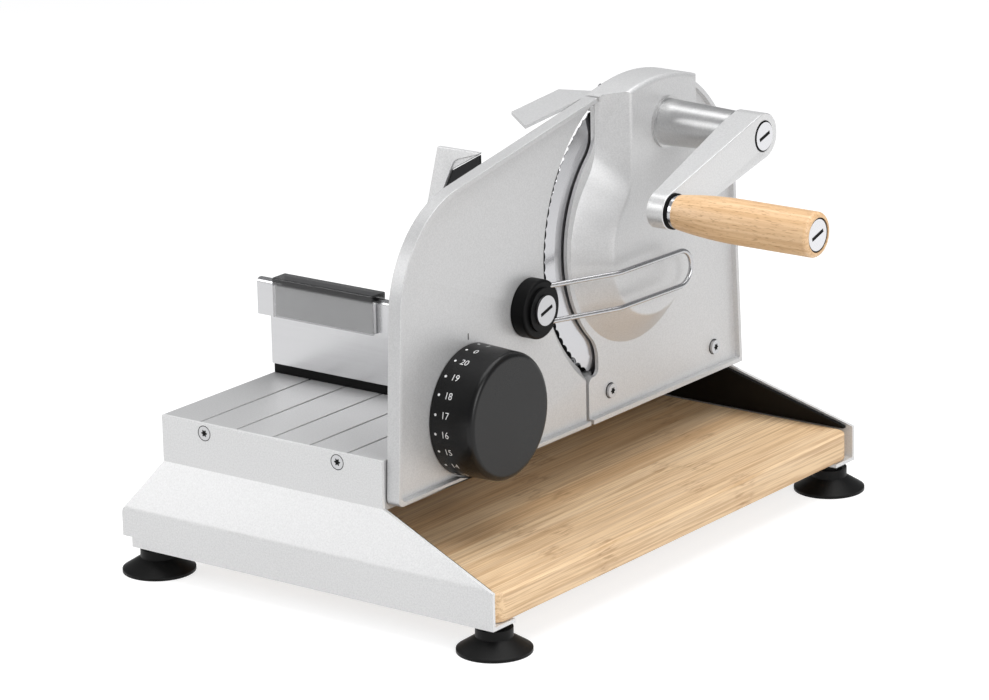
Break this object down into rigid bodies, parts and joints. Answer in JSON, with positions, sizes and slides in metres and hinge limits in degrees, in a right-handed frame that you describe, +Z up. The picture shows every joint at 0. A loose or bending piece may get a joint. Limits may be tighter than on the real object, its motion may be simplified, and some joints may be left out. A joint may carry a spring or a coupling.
{
  "type": "manual food slicer",
  "caption": "Hand-cranked food slicer: round geared blade, sliding food carriage with remnant holder, thickness dial that shifts a stop plate, serving board and suction feet.",
  "frame": {"origin": "on the standing surface, under the middle of the whole object's box", "axes": "+X towards the side where the slices fall and the crank stands out, +Y along the carriage's travel towards the back, +Z up"},
  "size_m": [0.353, 0.3568, 0.2526],
  "materials": {
    "satin_aluminium": "satin, light grey",
    "stainless_steel": "brushed",
    "black_rubber": "matt",
    "black_plastic": "fine matt texture",
    "bearing_plastic": "smooth",
    "bamboo": "oiled strips",
    "beech": "lacquered",
    "smoky_clear_plastic": "clear, smoky"
  },
  "bodies": {
    "base": {"suction_foot_front_left": "black_rubber", "suction_foot_front_right": "black_rubber", "suction_foot_rear_left": "black_rubber", "suction_foot_rear_right": "black_rubber", "foot_screws": "stainless_steel", "foot_bracket_front": "satin_aluminium", "foot_bracket_rear": "satin_aluminium", "bracket_lining_front": "black_plastic", "bracket_lining_rear": "black_plastic", "bracket_screws_front": "stainless_steel", "bracket_screws_rear": "stainless_steel", "base_deck": "satin_aluminium", "housing_screws": "stainless_steel", "guide_bush_front": "bearing_plastic", "guide_bush_rear": "bearing_plastic", "cam_follower_pin": "stainless_steel", "main_housing": "satin_aluminium", "blade_bush": "bearing_plastic", "guard_shelf": "satin_aluminium", "shelf_screws": "stainless_steel", "crank_tube": "satin_aluminium", "crank_bush_inner": "bearing_plastic", "crank_bush_outer": "bearing_plastic"},
    "board": {"serving_board": "bamboo"},
    "blade": {"slicing_blade": "stainless_steel", "blade_gear": "bearing_plastic", "gear_screws": "stainless_steel", "blade_axle": "stainless_steel", "blade_lock_screw": "stainless_steel"},
    "crank": {"crank_shaft": "stainless_steel", "crank_gear": "bearing_plastic", "gear_pin": "stainless_steel", "crank_washer": "black_plastic", "crank_arm": "satin_aluminium", "arm_cap": "stainless_steel", "grip_washer": "black_plastic", "handle_bolt": "stainless_steel"},
    "grip": {"handle_grip": "beech", "grip_sleeve": "bearing_plastic", "grip_ferrule": "stainless_steel"},
    "plate": {"stop_plate": "satin_aluminium", "guide_rod_front": "stainless_steel", "guide_rod_rear": "stainless_steel", "guide_collar_front": "stainless_steel", "guide_collar_rear": "stainless_steel", "dial_axle": "stainless_steel", "deflector_bolt": "stainless_steel"},
    "dial": {"thickness_dial": "black_plastic", "thickness_cam": "bearing_plastic"},
    "deflector": {"deflector_hub": "black_plastic", "deflector_wire": "stainless_steel"},
    "carriage": {"carriage_tray": "stainless_steel", "carriage_rail": "stainless_steel", "carriage_glide": "black_plastic", "thumb_guard": "smoky_clear_plastic", "thumb_guard_bar": "black_plastic"},
    "holder": {"holder_shell": "satin_aluminium", "holder_pad": "black_plastic"}
  },
  "joints": [
    {"name": "crank_spin", "type": "hinge", "parent": "base", "child": "crank", "pos_m": [0.0469, 0.0685, 0.226], "axis": [1, 0, 0], "continuous": true},
    {"name": "blade_spin", "type": "hinge", "parent": "base", "child": "blade", "pos_m": [0.0019, 0.0685, 0.163], "axis": [1, 0, 0], "continuous": true},
    {"name": "handle_spin", "type": "hinge", "parent": "crank", "child": "grip", "pos_m": [0.1309, -0.01743, 0.20362], "axis": [1, 0, 0], "continuous": true},
    {"name": "stop_plate_slide", "type": "slide", "parent": "base", "child": "plate", "axis": [1, 0, 0], "range_m": [0, 0.02]},
    {"name": "dial_turn", "type": "hinge", "parent": "plate", "child": "dial", "pos_m": [0.0169, -0.0904, 0.1009], "axis": [1, 0, 0], "range_deg": [0, 342.86]},
    {"name": "deflector_swing", "type": "hinge", "parent": "plate", "child": "deflector", "pos_m": [0.0119, -0.0372, 0.1437], "axis": [1, 0, 0], "range_deg": [-40, 10]},
    {"name": "carriage_slide", "type": "slide", "parent": "base", "child": "carriage", "axis": [0, 1, 0], "range_m": [-0.08, 0.11]},
    {"name": "remnant_holder_slide", "type": "slide", "parent": "carriage", "child": "holder", "axis": [1, 0, 0], "range_m": [-0.06, 0.01]},
    {"name": "board_slide", "type": "slide", "parent": "base", "child": "board", "axis": [1, 0, 0], "range_m": [0, 0.24]}
  ],
  "couplings": [
    {"joint": "blade_spin", "follows": "crank_spin", "ratio": -0.5},
    {"joint": "dial_turn", "follows": "stop_plate_slide", "rad_per_m": 299.19}
  ]
}
